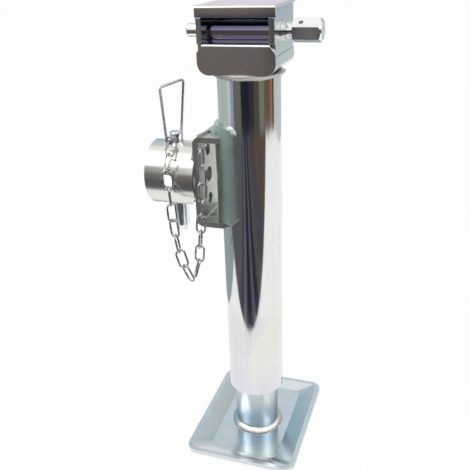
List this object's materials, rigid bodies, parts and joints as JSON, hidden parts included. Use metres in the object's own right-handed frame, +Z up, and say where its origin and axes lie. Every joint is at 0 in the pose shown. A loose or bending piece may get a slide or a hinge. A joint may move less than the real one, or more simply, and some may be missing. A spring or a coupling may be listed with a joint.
{
  "type": "trailer prop stand",
  "caption": "Telescopic trailer prop stand with a side hexagon drive, a bevel-geared screw, a pressed foot and a pipe socket with a chained locking pin.",
  "frame": {"origin": "on the ground at the middle of the foot's sole, under the axis of the tubes", "axes": "+Z up along the tubes, -Y out of the head's window, +X along the drive shaft to the crank's hexagon"},
  "size_m": [0.1714, 0.154, 0.4713],
  "materials": {
    "zinc_steel": "bright zinc plate with a bluish passivation",
    "head_steel": "satin zinc plate",
    "bronze": "sintered bronze",
    "machined_steel": "machined and greased",
    "wire_steel": "zinc-plated wire",
    "weld_steel": "weld bead, zinc plated"
  },
  "bodies": {
    "housing": {"outer_tube": "zinc_steel", "head_weld": "weld_steel", "lower_housing": "head_steel", "front_plate": "head_steel", "head_frame": "head_steel", "top_cover": "head_steel", "gear_shroud": "head_steel", "thrust_plate": "machined_steel", "bearing_upper_race": "machined_steel", "crown_washer": "machined_steel", "shaft_bush_left": "bronze", "shaft_bush_right": "bronze", "guide_bush": "bronze", "guide_key": "machined_steel", "mount_bracket": "zinc_steel", "bracket_saddle": "zinc_steel", "bracket_welds": "weld_steel", "mount_pipe": "zinc_steel", "pipe_weld": "weld_steel", "chain_bracket_side": "wire_steel"},
    "screw": {"lead_screw": "machined_steel", "crown_gear": "machined_steel", "gear_pin": "machined_steel", "bearing_lower_race": "machined_steel", "bearing_balls": "machined_steel"},
    "drive": {"drive_shaft": "zinc_steel", "bevel_pinion": "machined_steel", "pinion_pin": "machined_steel", "shaft_washer": "zinc_steel", "retaining_ring": "zinc_steel"},
    "leg": {"inner_tube": "zinc_steel", "drive_nut": "bronze", "foot_plate": "zinc_steel", "foot_weld": "weld_steel"},
    "lock_pin": {"locking_pin": "zinc_steel", "chain_pin_side": "wire_steel"},
    "handle": {"pin_handle": "wire_steel"}
  },
  "joints": [
    {"name": "drive_spin", "type": "hinge", "parent": "housing", "child": "drive", "pos_m": [0, 0, 0.4478], "axis": [1, 0, 0], "range_deg": [-37820, 8120]},
    {"name": "screw_spin", "type": "hinge", "parent": "housing", "child": "screw", "pos_m": [0, 0, 0.4], "axis": [0, 0, 1], "range_deg": [-18910, 4060]},
    {"name": "leg_slide", "type": "slide", "parent": "housing", "child": "leg", "axis": [0, 0, -1], "range_m": [-0.0451, 0.2101]},
    {"name": "pin_pull", "type": "slide", "parent": "housing", "child": "lock_pin", "axis": [0, 0, 1], "range_m": [0, 0.098]},
    {"name": "handle_fold", "type": "hinge", "parent": "lock_pin", "child": "handle", "pos_m": [-0.078, 0, 0.3455], "axis": [0, 1, 0], "range_deg": [-85, 30]}
  ],
  "couplings": [
    {"joint": "screw_spin", "follows": "leg_slide", "rad_per_m": -1570.8},
    {"joint": "drive_spin", "follows": "leg_slide", "rad_per_m": -3141.6}
  ]
}
